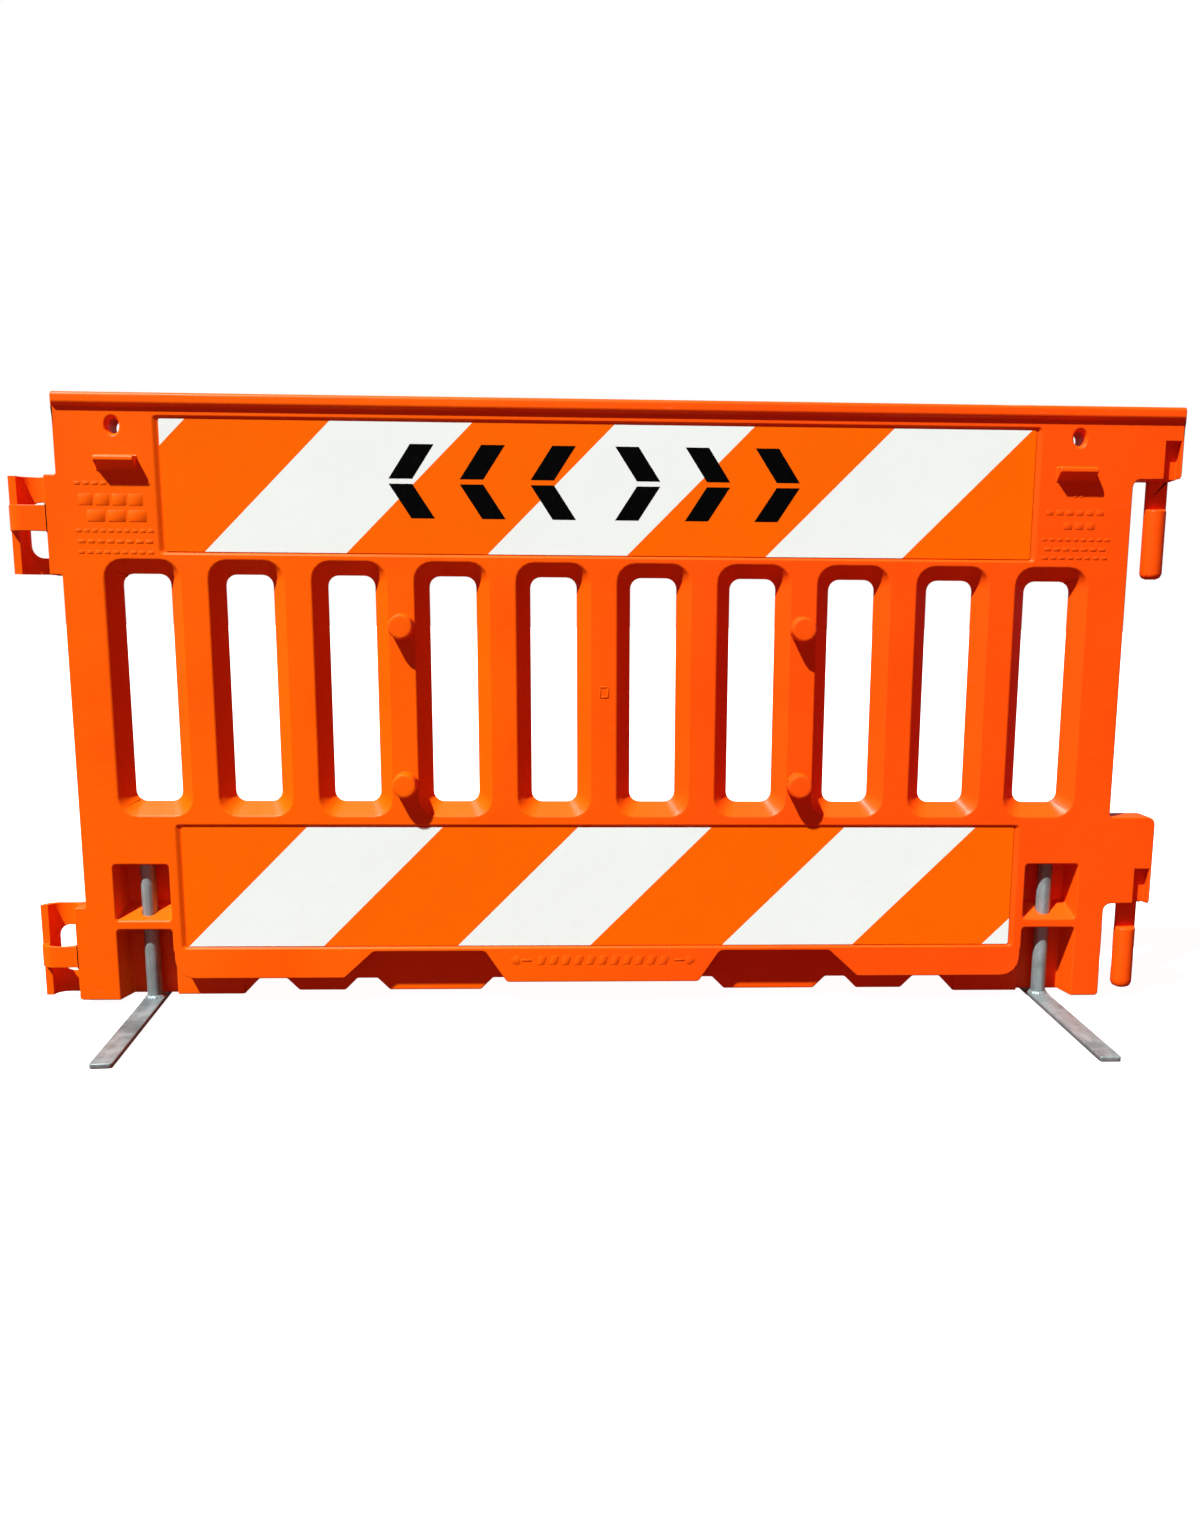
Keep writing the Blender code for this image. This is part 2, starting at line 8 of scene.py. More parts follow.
import bmesh
import bpy
import numpy as np
from mathutils import Matrix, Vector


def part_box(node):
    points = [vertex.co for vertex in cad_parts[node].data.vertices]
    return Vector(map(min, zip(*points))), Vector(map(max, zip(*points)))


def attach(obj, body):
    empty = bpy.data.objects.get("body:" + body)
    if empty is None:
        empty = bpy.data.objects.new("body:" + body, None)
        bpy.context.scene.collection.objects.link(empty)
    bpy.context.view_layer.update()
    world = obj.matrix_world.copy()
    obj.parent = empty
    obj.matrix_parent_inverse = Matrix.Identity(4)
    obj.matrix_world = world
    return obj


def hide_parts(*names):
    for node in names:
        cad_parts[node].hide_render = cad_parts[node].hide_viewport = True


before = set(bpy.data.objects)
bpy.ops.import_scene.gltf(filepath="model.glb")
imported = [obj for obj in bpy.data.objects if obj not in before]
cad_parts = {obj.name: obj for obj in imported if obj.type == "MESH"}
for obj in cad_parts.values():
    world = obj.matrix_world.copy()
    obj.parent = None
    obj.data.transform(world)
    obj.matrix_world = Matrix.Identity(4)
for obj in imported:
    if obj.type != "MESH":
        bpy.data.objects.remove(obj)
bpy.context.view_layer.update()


# ---- wall moulding
# One hollow polyethylene moulding: two mould halves that meet on the middle plane, so every slot
# and edge drafts towards that plane.  Its edges are soft, its skin has a faint orange peel, and a
# thin flash line runs where the halves met.

EDGE_RADIUS = 0.0019
EDGE_STEPS = 3
EDGE_ANGLE = math.radians(28)
BOSS_WEIGHT, LOOP_WEIGHT = 0.15, 0.5
BOSS_X, BOSS_Z = 0.313, (0.353, 0.600)
BOSS_REACH_X, BOSS_REACH_Z = 0.026, 0.030
FRONT_Y = -0.025
LOOP_X = -0.846                # the loops lie beyond this
LOOP_SEAM = 0.003              # half depth of the seam between front loops and rear shells
SHADED_AS_SHARP = math.radians(40)
WELD = 1e-5
FLAT = math.radians(1.0)
PANEL_X = 0.039225             # a quarter of the slots' pitch
PANEL_Z = 0.0411667
FIRST_Z = 0.353                # a panel line through the lower bosses' centres
POST_LINES = (0.735, 0.785)    # extra lines at the foot pockets, on both sides
LINK_LINES = (-0.873, 0.862)   # and through the link loops and the link pins
FLASH_HALF_WIDTH = 0.0006
FLASH_HEIGHT = 0.0003
# painted light: the orange is painted lighter and yellower on the left half of the wall and darker and redder
# on the right half
ORANGE_PAINTED_LIGHTER_LEFT = (0.94, 0.108, 0.0, 1)
ORANGE_PAINTED_DARKER_RIGHT = (0.94, 0.078, 0.002, 1)
ORANGE_DEEP = (0.80, 0.048, 0.0, 1)
SCUFF_PALE = (0.96, 0.30, 0.10, 1)


class Signal:
    """A socket's value: Python's operators on it add Math nodes to the finish it belongs to."""

    def __init__(self, finish, socket):
        self.finish, self.socket = finish, socket

    def maths(self, operation, *values):
        return self.finish.node("ShaderNodeMath", {"operation": operation}, dict(enumerate(values)))

    def __add__(self, other):
        return self.maths("ADD", self, other)

    def __sub__(self, other):
        return self.maths("SUBTRACT", self, other)

    def __rsub__(self, other):
        return self.maths("SUBTRACT", other, self)

    def __mul__(self, other):
        return self.maths("MULTIPLY", self, other)

    def __truediv__(self, other):
        return self.maths("DIVIDE", self, other)

    def __abs__(self):
        return self.maths("ABSOLUTE", self)

    def fraction(self):
        return self.maths("FRACT", self)

    def larger(self, other):
        return self.maths("MAXIMUM", self, other)

    __radd__, __rmul__ = __add__, __mul__


class Finish:
    """One procedural material on a Principled shader, with constants set on its own sockets."""

    def __init__(self, name, **constants):
        self.material = bpy.data.materials.new(name)
        self.material.use_nodes = True
        self.tree = self.material.node_tree
        self.shader = self.tree.nodes["Principled BSDF"]
        for socket, value in constants.items():
            self.shader.inputs[socket.replace("_", " ")].default_value = value

    def node(self, kind, settings, inputs, output=0):
        """Adds a node: settings first, then its sockets' values or links; gives one output."""
        made = self.tree.nodes.new(kind)
        for key, value in settings.items():
            if key == "stops":
                while len(made.color_ramp.elements) < len(value):
                    made.color_ramp.elements.new(0.5)
                for stop, (place, colour) in zip(made.color_ramp.elements, value):
                    stop.position, stop.color = place, colour
            else:
                setattr(made, key, value)
        for key, value in inputs.items():
            if isinstance(value, Signal):
                self.tree.links.new(value.socket, made.inputs[key])
            else:
                made.inputs[key].default_value = value
        return Signal(self, made.outputs[output])

    def feed(self, socket, signal):
        self.tree.links.new(signal.socket, self.shader.inputs[socket])

    def place(self):
        return self.node("ShaderNodeTexCoord", {}, {}, "Object")

    def axis(self, place, which):
        return self.node("ShaderNodeSeparateXYZ", {}, {0: place}, which)

    def stretched(self, place, scale):
        return self.node("ShaderNodeMapping", {}, {"Vector": place, "Scale": scale})

    def noise(self, place, scale, detail=2.0, roughness=0.5):
        """Fractal noise from 0 to 1, about scale blotches a metre."""
        inputs = {"Vector": place, "Scale": scale, "Detail": detail, "Roughness": roughness}
        return self.node("ShaderNodeTexNoise", {}, inputs, "Fac")

    def ease(self, signal, low, high):
        """0 below low, 1 above high, smooth between them."""
        settings = {"interpolation_type": "SMOOTHSTEP"}
        inputs = {"Value": signal, "From Min": low, "From Max": high}
        return self.node("ShaderNodeMapRange", settings, inputs)

    def blend(self, factor, first, second, mode="MIX"):
        """Mixes two colours by a factor from 0 to 1."""
        settings = {"data_type": "RGBA", "blend_type": mode, "clamp_factor": True}
        return self.node("ShaderNodeMix", settings, {0: factor, 6: first, 7: second}, 2)

    def relief(self, height, strength=1.0):
        """Bump from a height in metres."""
        self.feed("Normal", self.node("ShaderNodeBump", {}, {"Strength": strength, "Distance": 1.0,
                                                             "Height": height}, "Normal"))


def smooth_by_angle(mesh, angle):
    mesh.shade_smooth()
    mesh.set_sharp_from_angle(angle=angle)


def add_piece(name, mesh, body, slot, material, *nodes):
    """Puts a mesh in the scene, on a body, standing for the nodes named."""
    piece = bpy.data.objects.new(name, mesh)
    bpy.context.scene.collection.objects.link(piece)
    mesh.materials.append(material)
    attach(piece, body)
    if nodes:
        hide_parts(*nodes)
    return piece


def orange_polyethylene():
    """Pigmented polyethylene: mottled colour, painted light that makes the left half lighter than the right,
    fine peel, pale scuffs where it is handled.
    """
    finish = Finish("orange_polyethylene", Specular_IOR_Level=0.15)
    place = finish.place()
    x, y, z = (finish.axis(place, which) for which in "XYZ")
    # painted light: a ramp across the middle of the wall from the lighter left orange to the darker right
    # orange
    painted_light_across = finish.ease(x, -0.35, 0.35)
    mottle = finish.noise(place, 5.0, 3.0, 0.55)
    cloud = finish.noise(place, 26.0, 2.0)
    scratches = finish.noise(finish.stretched(place, (18.0, 60.0, 240.0)), 1.0, 3.0, 0.65)
    patches = finish.noise(place, 9.0, 3.0, 0.6)
    handled = finish.ease(z, 0.925, 0.948) * 0.7 + (1 - finish.ease(z, 0.01, 0.10)) * 0.8 + 0.12
    scuff = finish.ease(scratches, 0.60, 0.74) * finish.ease(patches, 0.50, 0.66) * handled
    colour = finish.blend(painted_light_across, ORANGE_PAINTED_LIGHTER_LEFT, ORANGE_PAINTED_DARKER_RIGHT)
    colour = finish.blend(finish.ease(mottle, 0.42, 0.75) * 0.26, colour, ORANGE_DEEP)
    colour = finish.blend(scuff * 0.5, colour, SCUFF_PALE)
    finish.feed("Base Color", colour)
    finish.feed("Roughness", cloud * 0.12 + mottle * 0.10 + scuff * 0.25 + 0.27)
    flash = 1 - finish.ease(abs(y), 0.0, FLASH_HALF_WIDTH)
    peel = finish.noise(place, 420.0, 1.0) * 0.00010 + finish.noise(place, 60.0, 2.0) * 0.00022
    sink = finish.noise(place, 7.0, 1.0) * 0.0012
    finish.relief(peel + sink + scuff * 0.00012 + flash * FLASH_HEIGHT)
    return finish.material


def soft_edged_copy(node, name, lattice_x, lattice_z, room):
    """The node's own shape, merged, with its flat faces cut into an even lattice of panels.

    Short panels keep the rounded edges regular.  Edges left over inside a panel are dissolved.
    Every sharp edge gets a bevel weight: the smaller room(point) of its two ends.
    """
    bm = bmesh.new()
    bm.from_mesh(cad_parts[node].data)
    bmesh.ops.remove_doubles(bm, verts=bm.verts, dist=WELD)
    bmesh.ops.dissolve_degenerate(bm, dist=2 * WELD, edges=bm.edges)
    bmesh.ops.dissolve_limit(bm, angle_limit=FLAT, verts=bm.verts, edges=bm.edges)
    for axis, places in ((0, lattice_x), (2, lattice_z)):
        for place in places:
            point, normal = [0, 0, 0], [0, 0, 0]
            point[axis], normal[axis] = place, 1
            bmesh.ops.bisect_plane(bm, geom=bm.verts[:] + bm.edges[:] + bm.faces[:], dist=WELD / 10,
                                   plane_co=point, plane_no=normal)
    stray = []
    for edge in bm.edges:
        if len(edge.link_faces) == 2 and edge.calc_face_angle() < FLAT:
            first, second = (vertex.co for vertex in edge.verts)
            if not any(abs(first[axis] - second[axis]) < WELD and min(abs(places - first[axis])) < WELD
                       for axis, places in ((0, lattice_x), (2, lattice_z))):
                stray.append(edge)
    bmesh.ops.dissolve_edges(bm, edges=stray, use_verts=True)
    bmesh.ops.dissolve_degenerate(bm, dist=WELD, edges=bm.edges)
    weight = bm.edges.layers.float.new("bevel_weight_edge")
    for edge in bm.edges:
        if len(edge.link_faces) == 2 and edge.calc_face_angle() > EDGE_ANGLE:
            edge[weight] = min(room(vertex.co) for vertex in edge.verts)
    mesh = bpy.data.meshes.new(name)
    bm.to_mesh(mesh)
    bm.free()
    smooth_by_angle(mesh, SHADED_AS_SHARP)
    return mesh


def room(point):
    """How much of the full bevel fits: less round a boss's root and on the link loops."""
    if point.x - middle_x < LOOP_X:
        return 0.0 if abs(point.y) < LOOP_SEAM else LOOP_WEIGHT
    in_front = point.y < FRONT_Y + 0.001
    beside = abs(abs(point.x - middle_x) - BOSS_X) < BOSS_REACH_X
    level = any(abs(point.z - leg_z - height) < BOSS_REACH_Z for height in BOSS_Z)
    return BOSS_WEIGHT if in_front and beside and level else 1.0


sheet_low, sheet_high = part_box("sheeting_front_upper")
leg_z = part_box("wall_panel")[0].z
middle_x = (sheet_low.x + sheet_high.x) / 2
over_posts = np.array(POST_LINES)
lattice_x = middle_x + np.concatenate([PANEL_X * np.arange(-18, 19), over_posts, -over_posts, LINK_LINES])
lattice_z = leg_z + FIRST_Z + PANEL_Z * np.arange(-8, 15)
polyethylene = orange_polyethylene()
moulding = soft_edged_copy("wall_panel", "wall_moulding", lattice_x, lattice_z, room)
wall = add_piece("wall_moulding", moulding, "wall", "orange_polyethylene", polyethylene, "wall_panel")
edges = wall.modifiers.new("Soft edges", "BEVEL")
edges.width = EDGE_RADIUS
edges.segments = EDGE_STEPS
edges.limit_method = "WEIGHT"
edges.use_clamp_overlap = False
even = wall.modifiers.new("Even faces", "WEIGHTED_NORMAL")
even.keep_sharp = True


# ---- raised marks
# Low relief moulded on the front: brick-course emblems with rows of dashes under the light
# holes, a row of slanted blocks between two arrows on the skirt, and a ring at mid height.
# Each mark rises from the face with a drawn-in rim.

MARK_HEIGHT = 0.00045
MARK_ROOT = 0.0004             # how far a mark's foot lies inside the wall's face
RIM_INSET = 0.0005
RIM_RISE = 0.55                # share of the height below the drawn-in rim
MARK_SMOOTH = math.radians(50)
SKIRT_ROW_Z = 0.064
CENTRE_MARK = (0.001, 0.500)


def raised_marks(outlines):
    """Closed low pads from outlines shaped (marks, points, 2) in x and z, all wound alike.

    Each pad has three rings: a root MARK_ROOT inside the wall's face, the same ring at RIM_RISE
    of the height, and a top ring moved towards the pad's middle by RIM_INSET.
    """
    marks, points = outlines.shape[:2]
    middle = outlines.mean(axis=1, keepdims=True)
    away = outlines - middle
    length = np.linalg.norm(away, axis=2, keepdims=True)
    top = middle + away * (1 - RIM_INSET / length)
    rings = np.empty((marks, 3, points, 3))
    steps = ((outlines, MARK_ROOT), (outlines, -RIM_RISE * MARK_HEIGHT), (top, -MARK_HEIGHT))
    for level, (flat, depth) in enumerate(steps):
        rings[:, level, :, 0], rings[:, level, :, 2] = flat[..., 0], flat[..., 1]
        rings[:, level, :, 1] = FRONT_Y + depth
    index = np.arange(marks * 3 * points).reshape(marks, 3, points)
    low, high = index[:, :-1], index[:, 1:]
    quads = np.stack([low, np.roll(low, -1, axis=2), np.roll(high, -1, axis=2), high], axis=-1).reshape(-1, 4)
    faces = quads.tolist() + index[:, 2].tolist() + index[:, 0, ::-1].tolist()
    return rings.reshape(-1, 3), faces


def mesh_of(name, parts):
    """One mesh from several (points, faces) shells, with the normals turned outwards."""
    mesh = bpy.data.meshes.new(name)
    points, faces, count = [], [], 0
    for shell_points, shell_faces in parts:
        points.append(shell_points)
        faces += [[count + i for i in face] for face in shell_faces]
        count += len(shell_points)
    mesh.from_pydata(np.concatenate(points).tolist(), [], faces)
    bm = bmesh.new()
    bm.from_mesh(mesh)
    bmesh.ops.recalc_face_normals(bm, faces=bm.faces)
    bm.to_mesh(mesh)
    bm.free()
    return mesh


def blocks(centres, width, height, slant=0.0, corner=0.0012):
    """Outlines of equal blocks with cut corners at (x, z) centres, leaning by slant."""
    half_w, half_h = width / 2, height / 2
    u = np.array([-half_w + corner, half_w - corner, half_w, half_w, half_w - corner, -half_w + corner,
                  -half_w, -half_w])
    v = np.array([-half_h, -half_h, -half_h + corner, half_h - corner, half_h, half_h, half_h - corner,
                  -half_h + corner])
    shape = np.stack([u + v * slant, v], axis=1)
    return np.asarray(centres)[:, None, :] + shape[None]


def row(x_low, x_high, count, z):
    """Evenly spaced centres along x at one height."""
    return np.stack([np.linspace(x_low, x_high, count), np.full(count, z)], axis=1)


def arrow_head(x, z, size, direction):
    """A triangle with cut tips pointing along x."""
    turn = np.radians([20.0, 100.0, 140.0, 220.0, 260.0, 340.0])
    return np.stack([x + direction * size * np.cos(turn), z + size * np.sin(turn)], axis=1)[None]


def emblem(centre_x, low_z, courses, dashes):
    """Brick courses (z, bricks, width, height) with rows of dashes (z, count, width) around them."""
    parts = []
    for step, (z, count, width, height) in enumerate(courses):
        span = (count - 1) * (width + 0.004) / 2
        shift = (step % 2 - 0.5) * 0.008
        centres = row(centre_x - span + shift, centre_x + span + shift, count, low_z + z)
        parts.append(raised_marks(blocks(centres, width, height)))
    for z, count, width in dashes:
        span = (count - 1) * (width + 0.0035) / 2
        centres = row(centre_x - span, centre_x + span, count, low_z + z)
        parts.append(raised_marks(blocks(centres, width, 0.0050, corner=0.0008)))
    return parts


LEFT_PLACE = (-0.7425, 0.697)
LEFT_COURSES = ((0.090, 4, 0.021, 0.017), (0.066, 3, 0.027, 0.017))
LEFT_DASHES = ((0.114, 9, 0.0095), (0.044, 10, 0.0085), (0.028, 8, 0.0110), (0.012, 9, 0.0095))
RIGHT_PLACE = (0.7400, 0.708)
RIGHT_COURSES = ((0.075, 6, 0.0120, 0.0080), (0.055, 3, 0.014, 0.011))
RIGHT_DASHES = ((0.100, 2, 0.0060), (0.034, 9, 0.0090), (0.019, 7, 0.0110), (0.006, 8, 0.0100))

skirt_z = leg_z + SKIRT_ROW_Z
ring_x, ring_z = middle_x + CENTRE_MARK[0], leg_z + CENTRE_MARK[1]
marks = {
    "left_marks": emblem(middle_x + LEFT_PLACE[0], leg_z + LEFT_PLACE[1], LEFT_COURSES, LEFT_DASHES),
    "right_marks": emblem(middle_x + RIGHT_PLACE[0], leg_z + RIGHT_PLACE[1], RIGHT_COURSES, RIGHT_DASHES),
    "skirt_marks": [
        raised_marks(blocks(row(middle_x - 0.100, middle_x + 0.100, 11, skirt_z), 0.0125, 0.015, 0.35)),
        raised_marks(blocks(row(middle_x - 0.125, middle_x + 0.125, 2, skirt_z), 0.018, 0.0035)),
        raised_marks(arrow_head(middle_x - 0.142, skirt_z, 0.0085, -1)),
        raised_marks(arrow_head(middle_x + 0.142, skirt_z, 0.0085, 1)),
    ],
    "centre_mark": [
        raised_marks(blocks([(ring_x + side * 0.0062, ring_z)], 0.003, 0.019)) for side in (-1, 1)
    ] + [
        raised_marks(blocks([(ring_x, ring_z + side * 0.008)], 0.0125, 0.003)) for side in (-1, 1)
    ],
}
for name, parts in marks.items():
    mesh = mesh_of(name, parts)
    smooth_by_angle(mesh, MARK_SMOOTH)
    add_piece(name, mesh, "wall", "orange_polyethylene", polyethylene)


# ---- reflective sheeting
# Prismatic film on a thin backing, laid in the four recesses: orange and white stripes at 45
# degrees, and a fine diamond lattice of sealed cells under a glossy skin.

STRIPE_PERIOD = 0.431
STRIPE_START = {"upper": -1.3275, "lower": -0.762}
FILM_ORANGE = (0.93, 0.125, 0.0, 1)
FILM_WHITE = (0.84, 0.87, 0.85, 1)
FILM_GRIME = (0.35, 0.33, 0.30, 1)
STRIPE_BLEED = 0.0006
CELL = 0.0042
CELL_WALL = 0.00035


def striped_film(level):
    """Stripes from x - z in the panel's plane; a lattice of thin lines from x + z and x - z."""
    finish = Finish(f"reflective_film_{level}", Coat_Weight=0.03, Coat_Roughness=0.12,
                    Specular_IOR_Level=0.08)
    place = finish.place()
    x, z = finish.axis(place, "X"), finish.axis(place, "Z")
    rise, fall = x - z, x + z
    phase = ((rise - STRIPE_START[level]) / STRIPE_PERIOD).fraction()
    edge = STRIPE_BLEED / STRIPE_PERIOD
    white = finish.ease(phase, 0.0, edge) * (1 - finish.ease(phase, 0.5 - edge, 0.5))
    cell_walls = [finish.ease(abs((line / CELL).fraction() - 0.5), 0.5 - CELL_WALL / CELL, 0.5)
                  for line in (rise, fall)]
    lattice = cell_walls[0].larger(cell_walls[1])
    tone = finish.noise(place, 14.0, 3.0, 0.6)
    grime = finish.ease(finish.noise(finish.stretched(place, (30.0, 1.0, 7.0)), 1.0, 4.0, 0.6), 0.55, 0.85)
    colour = finish.blend(white, FILM_ORANGE, FILM_WHITE)
    colour = finish.blend(lattice * 0.10 + grime * 0.05 + tone * 0.05, colour, FILM_GRIME, "MULTIPLY")
    finish.feed("Base Color", colour)
    finish.feed("Roughness", tone * 0.12 + lattice * 0.2 + 0.26)
    finish.relief(lattice * 0.00003 + tone * 0.0004 + finish.noise(place, 4.0, 1.0) * 0.0012)
    return finish.material


film = {level: striped_film(level) for level in STRIPE_START}
for face in ("front", "rear"):
    for level in STRIPE_START:
        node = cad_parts[f"sheeting_{face}_{level}"]
        node.data.materials.clear()
        node.data.materials.append(film[level])


# ---- stencilled arrows
# Black ink cut through a stencil on the front upper sheeting: three chevrons point outwards on
# each side, and each is bridged at its tip, as a stencil must be.

INK_HEIGHT = 0.110
INK_STROKE = 0.036
INK_SWEEP = 0.036
INK_PITCH = 0.108
INK_BRIDGE = 0.0075
INK_THICKNESS = 0.00012
INK_CENTRE_X, INK_CENTRE_Z = -0.0125, 0.819
INK_START = 0.030              # middle of the row to the first chevron
INK_BLACK = (0.0006, 0.0006, 0.0006, 1)
INK_THIN = (0.003, 0.003, 0.003, 1)


def chevron_arm(x, z, direction, side):
    """One arm as (points, faces): a parallelogram from the bridge to the outer end."""
    film_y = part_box("sheeting_front_upper")[0].y
    near, far = INK_BRIDGE / 2, INK_HEIGHT / 2
    reach = INK_SWEEP * near / far
    tip = x + direction * (INK_SWEEP - reach)
    flat = np.array([(tip, z + side * near), (tip + direction * INK_STROKE, z + side * near),
                     (x + direction * INK_STROKE, z + side * far), (x, z + side * far)])
    back = np.stack([flat[:, 0], np.full(4, film_y + INK_THICKNESS / 2), flat[:, 1]], axis=1)
    front = back - (0, 1.5 * INK_THICKNESS, 0)
    sides = [[i, (i + 1) % 4, 4 + (i + 1) % 4, 4 + i] for i in range(4)]
    return np.concatenate([back, front]), sides + [[3, 2, 1, 0], [4, 5, 6, 7]]


def stencil_ink():
    """Matt black ink, a little thin at its edges."""
    finish = Finish("stencil_ink", Specular_IOR_Level=0.03)
    place = finish.place()
    thin = finish.noise(place, 90.0, 3.0, 0.6)
    finish.feed("Base Color", finish.blend(finish.ease(thin, 0.55, 0.8), INK_BLACK, INK_THIN))
    finish.feed("Roughness", thin * 0.2 + 0.42)
    finish.relief(finish.noise(place, 700.0, 1.0) * 0.00005)
    return finish.material


ink_z = leg_z + INK_CENTRE_Z
ink_x = middle_x + INK_CENTRE_X
ink = [chevron_arm(ink_x + direction * (INK_START + step * INK_PITCH), ink_z, direction, side)
       for direction in (-1, 1) for step in range(3) for side in (-1, 1)]
arrows = mesh_of("stencilled_arrows", ink)
add_piece("stencilled_arrows", arrows, "wall", "reflective_sheeting", stencil_ink())


# ---- feet
# Each foot is a round post welded on a flat bar, zinc plated after welding.  A retaining ring
# near the post's top keeps it in the wall.  The weld is a rippled bead.

BAR_LENGTH, BAR_WIDTH = 0.660, 0.032
BAR_CORNER = 0.005
BAR_EDGE = 0.0016
WELD_RIPPLES = 15
WELD_LEG = 0.0035
WELD_SWING = 0.12
POST_SIDES = 96
POST_RADIUS, POST_NECK = 0.012, 0.010
RING_PLAY = 0.0003             # air above and below the retaining ring in its groove
LEFT_TOE_IN = math.radians(4.5)
FOOT_SMOOTH = math.radians(50)
ZINC_BRIGHT = (0.36, 0.385, 0.39, 1)
ZINC_DULL = (0.17, 0.185, 0.19, 1)
ZINC_RUB = (0.10, 0.108, 0.112, 1)
ZINC_SCRATCH = (0.60, 0.62, 0.63, 1)


def zinc_plate(name, along):
    """Dull zinc: spangled clouds, streaks drawn along one axis, dark rubs and pale scratches."""
    finish = Finish(name, Metallic=0.35, Specular_IOR_Level=0.5)
    place = finish.place()
    streaks = finish.noise(finish.stretched(place, along), 1.0, 3.0, 0.6)
    clouds = finish.noise(place, 38.0, 4.0, 0.6)
    rubs = finish.ease(finish.noise(place, 16.0, 3.0, 0.55), 0.52, 0.74)
    scratches = finish.ease(finish.noise(finish.stretched(place, (900.0, 60.0, 60.0)), 1.0, 2.0), 0.66, 0.72)
    mix = streaks * 0.55 + clouds * 0.45
    colour = finish.blend(finish.ease(mix, 0.30, 0.70), ZINC_DULL, ZINC_BRIGHT)
    colour = finish.blend(rubs * 0.5, colour, ZINC_RUB)
    colour = finish.blend(scratches * 0.5, colour, ZINC_SCRATCH)
    finish.feed("Base Color", colour)
    finish.feed("Roughness", clouds * 0.22 + rubs * 0.12 + 0.34)
    finish.relief(streaks * 0.00010 + clouds * 0.00016)
    return finish.material


def bar_shell(centre, size, turn):
    """A flat bar: a rounded-rectangle plan lofted through rings that round its edges.

    Ring k stands at a height between bottom and top; near both it is drawn in along a quarter
    circle of BAR_EDGE.  The plan's corners are quarter circles of BAR_CORNER.
    """
    steps = np.radians(np.linspace(0, 90, 7))
    half_w, half_l = size[0] / 2, size[1] / 2
    mid_w, mid_l = half_w - BAR_CORNER, half_l - BAR_CORNER
    corners = [(mid_w, mid_l, 0), (-mid_w, mid_l, 90), (-mid_w, -mid_l, 180), (mid_w, -mid_l, 270)]
    angle = np.concatenate([steps + math.radians(start) for _, _, start in corners])
    base = np.concatenate([np.repeat([[cx, cy]], len(steps), axis=0) for cx, cy, _ in corners])
    lift = np.radians(np.linspace(-90, 90, 11))
    inset = BAR_EDGE * (1 - np.cos(lift))
    height = np.where(lift < 0, BAR_EDGE * (1 + np.sin(lift)), size[2] - BAR_EDGE * (1 - np.sin(lift)))
    radius = BAR_CORNER - inset[:, None]
    ring_x = base[None, :, 0] + radius * np.cos(angle)[None]
    ring_y = base[None, :, 1] + radius * np.sin(angle)[None]
    x = centre[0] + ring_x * math.cos(turn) - ring_y * math.sin(turn)
    y = centre[1] + ring_x * math.sin(turn) + ring_y * math.cos(turn)
    z = centre[2] + np.repeat(height[:, None], len(angle), axis=1)
    return closed_rings(np.stack([x, y, z], axis=-1))


def closed_rings(rings):
    """(points, faces) of rings joined by quads, with a cap on the first and on the last ring."""
    levels, around = rings.shape[:2]
    index = np.arange(levels * around).reshape(levels, around)
    low, high = index[:-1], index[1:]
    quads = np.stack([low, np.roll(low, -1, axis=1), np.roll(high, -1, axis=1), high], axis=-1).reshape(-1, 4)
    return rings.reshape(-1, 3), quads.tolist() + [index[0, ::-1].tolist(), index[-1].tolist()]


def post_shell(axis_x, low, top, groove):
    """A turned post: (radius, z) profile turned about its axis, with a rippled weld at its foot.

    At a share u of the weld's height the bead stands out by WELD_LEG * (1 - u) ** 0.6.  It swings
    by WELD_SWING with WELD_RIPPLES waves round the post.
    """
    angle = np.linspace(0, 2 * math.pi, POST_SIDES, endpoint=False)
    leg = np.linspace(0, 1, 9)
    bead = [(POST_RADIUS, low + share * WELD_LEG) for share in leg]
    shaft = [(POST_RADIUS, z) for z in np.linspace(low + WELD_LEG * 1.3, groove[0] - 0.0006, 24)]
    slot = [(POST_RADIUS - 0.0003, groove[0] - 0.0002), (POST_NECK, groove[0]), (POST_NECK, groove[1]),
            (POST_RADIUS - 0.0003, groove[1] + 0.0002)]
    head = [(POST_RADIUS, z) for z in np.linspace(groove[1] + 0.0006, top - 0.0015, 4)]
    crown = [(POST_RADIUS - 0.0006, top - 0.0007), (POST_RADIUS - 0.0011, top - 0.0002),
             (POST_RADIUS - 0.0019, top)]
    r, z = np.array(bead + shaft + slot + head + crown).T
    swell = np.zeros_like(z)
    swell[:len(leg)] = WELD_LEG * (1 - leg) ** 0.6 * 0.98
    ripple = 1 + WELD_SWING * np.cos(WELD_RIPPLES * angle + 0.7 * np.sin(3 * angle))
    ring_radius = r[:, None] + swell[:, None] * ripple[None]
    x = axis_x + ring_radius * np.cos(angle)[None]
    y = ring_radius * np.sin(angle)[None]
    return closed_rings(np.stack([x, y, np.repeat(z[:, None], POST_SIDES, axis=1)], axis=-1))


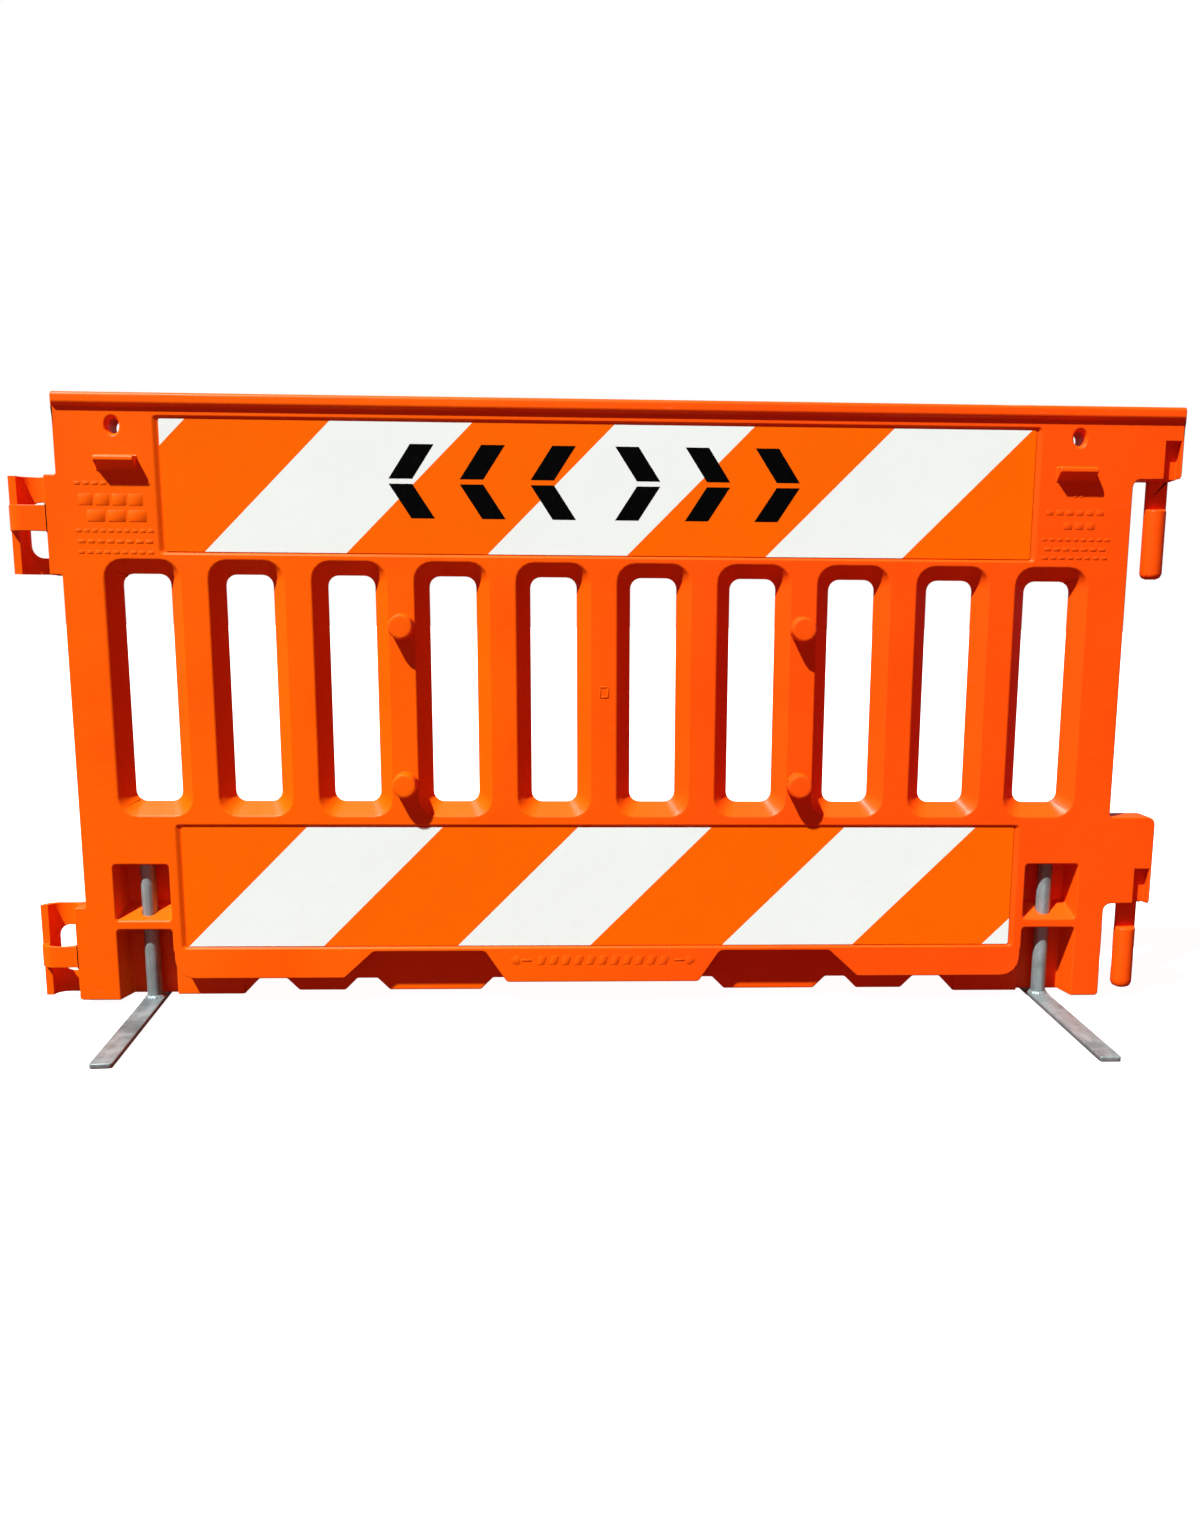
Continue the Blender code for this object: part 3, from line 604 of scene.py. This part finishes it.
bar_zinc = zinc_plate("zinc_bar", (45.0, 8.0, 45.0))
post_zinc = zinc_plate("zinc_post", (320.0, 320.0, 9.0))
for word, turn in (("left", LEFT_TOE_IN), ("right", 0.0)):
    bar_low, bar_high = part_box(f"{word}_foot_bar")
    post_low, post_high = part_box(f"{word}_foot_post")
    ring_low, ring_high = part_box(f"{word}_retaining_ring")
    axis_x = (post_low.x + post_high.x) / 2
    size = (BAR_WIDTH, BAR_LENGTH, bar_high.z - bar_low.z)
    mesh = mesh_of(f"{word}_bar", [bar_shell((axis_x, 0.0, bar_low.z), size, turn)])
    smooth_by_angle(mesh, FOOT_SMOOTH)
    add_piece(f"{word}_bar", mesh, f"{word}_foot", "zinc_plate", bar_zinc, f"{word}_foot_bar")
    groove = (ring_low.z - RING_PLAY, ring_high.z + RING_PLAY)
    mesh = mesh_of(f"{word}_post", [post_shell(axis_x, post_low.z, post_high.z, groove)])
    smooth_by_angle(mesh, FOOT_SMOOTH)
    add_piece(f"{word}_post", mesh, f"{word}_foot", "zinc_plate", post_zinc, f"{word}_foot_post")


# ---- retaining rings
# Hardened steel rings snapped into the posts' grooves, blackened and oiled.

def spring_steel():
    """Black oxide with a brown bloom and a satin sheen."""
    finish = Finish("spring_steel", Metallic=1.0)
    place = finish.place()
    bloom = finish.noise(place, 160.0, 3.0, 0.6)
    finish.feed("Base Color", finish.blend(bloom, (0.05, 0.05, 0.055, 1), (0.13, 0.105, 0.085, 1)))
    finish.feed("Roughness", bloom * 0.2 + 0.3)
    finish.relief(bloom * 0.00004)
    return finish.material


ring_steel = spring_steel()
for word in ("left", "right"):
    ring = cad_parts[f"{word}_retaining_ring"]
    ring.data.materials.clear()
    ring.data.materials.append(ring_steel)


# ---- floor, light and camera
# A near-white floor that bounces a little warm light, hard sun from the upper left, and a
# backdrop that is white to the camera but only a dim, warm fill to everything else.

FLOOR_REACH = 30.0
FLOOR_SEEN, FLOOR_BOUNCE = (0.50, 0.50, 0.50, 1), (0.10, 0.008, 0.004, 1)
FLOOR_GLOW = (0.96, 0.96, 0.96, 1)
SUN_TRAVEL = (0.40, 0.40, -0.82)
SUN_STRENGTH = 8.06
SUN_COLOUR = (0.82, 1.0, 0.99)
SUN_SPREAD = math.radians(1.5)
FILL = 0.24
FILL_COLOUR = (1.0, 0.05, 0.02, 1)
GLOSS_FILL = 0.25
CAMERA_PLACE = (-0.0153, -2.165, 0.653)
CAMERA_TURNS = ((-2.584, "Z"), (79.5, "X"), (0.46, "Z"))
CAMERA_SHIFT = (-0.0339, 0.0534)
CAMERA_LENS = 31.64

paper = Finish("floor_paper", Roughness=0.9, Emission_Strength=1.0)
seen = paper.node("ShaderNodeLightPath", {}, {}, "Is Camera Ray")
paper.feed("Base Color", paper.blend(seen, FLOOR_BOUNCE, FLOOR_SEEN))
paper.feed("Emission Color", paper.blend(seen, (0, 0, 0, 1), FLOOR_GLOW))
floor_mesh = bpy.data.meshes.new("floor")
floor_corners = [(FLOOR_REACH * x, FLOOR_REACH * y, 0) for x, y in ((-1, -1), (1, -1), (1, 1), (-1, 1))]
floor_mesh.from_pydata(floor_corners, [], [(0, 1, 2, 3)])
floor_mesh.materials.append(paper.material)
floor = bpy.data.objects.new("floor", floor_mesh)
bpy.context.scene.collection.objects.link(floor)

world = bpy.data.worlds.new("studio")
bpy.context.scene.world = world
world.use_nodes = True
nodes, links = world.node_tree.nodes, world.node_tree.links
backdrop = nodes["Background"]
path = nodes.new("ShaderNodeLightPath")
strength = nodes.new("ShaderNodeMath")
strength.operation = "MULTIPLY"
for socket, (kind, level) in enumerate((("Is Diffuse Ray", FILL), ("Is Glossy Ray", GLOSS_FILL))):
    dimmer = nodes.new("ShaderNodeMapRange")
    dimmer.inputs["To Min"].default_value = 1.0
    dimmer.inputs["To Max"].default_value = level
    links.new(path.outputs[kind], dimmer.inputs["Value"])
    links.new(dimmer.outputs[0], strength.inputs[socket])
links.new(strength.outputs[0], backdrop.inputs["Strength"])
tint = nodes.new("ShaderNodeMix")
tint.data_type = "RGBA"
tint.inputs[6].default_value = (1, 1, 1, 1)
tint.inputs[7].default_value = FILL_COLOUR
links.new(path.outputs["Is Diffuse Ray"], tint.inputs[0])
links.new(tint.outputs[2], backdrop.inputs["Color"])

sun_data = bpy.data.lights.new("sun", "SUN")
sun_data.energy = SUN_STRENGTH
sun_data.angle = SUN_SPREAD
sun_data.color = SUN_COLOUR
sun = bpy.data.objects.new("sun", sun_data)
bpy.context.scene.collection.objects.link(sun)
travel = np.array(SUN_TRAVEL)
sun.rotation_euler = (math.acos(-travel[2] / np.linalg.norm(travel)), 0,
                      math.atan2(travel[1], travel[0]) - math.pi / 2)

bpy.context.scene.view_settings.view_transform = "Standard"
camera_data = bpy.data.cameras.new("camera")
camera_data.lens = CAMERA_LENS
camera_data.sensor_width = 36.0
camera_data.sensor_fit = "AUTO"
camera_data.shift_x, camera_data.shift_y = CAMERA_SHIFT
camera = bpy.data.objects.new("camera", camera_data)
bpy.context.scene.collection.objects.link(camera)
stance = Matrix.Translation(CAMERA_PLACE)
for degrees, axis in CAMERA_TURNS:
    stance = stance @ Matrix.Rotation(math.radians(degrees), 4, axis)
camera.matrix_world = stance
bpy.context.scene.camera = camera
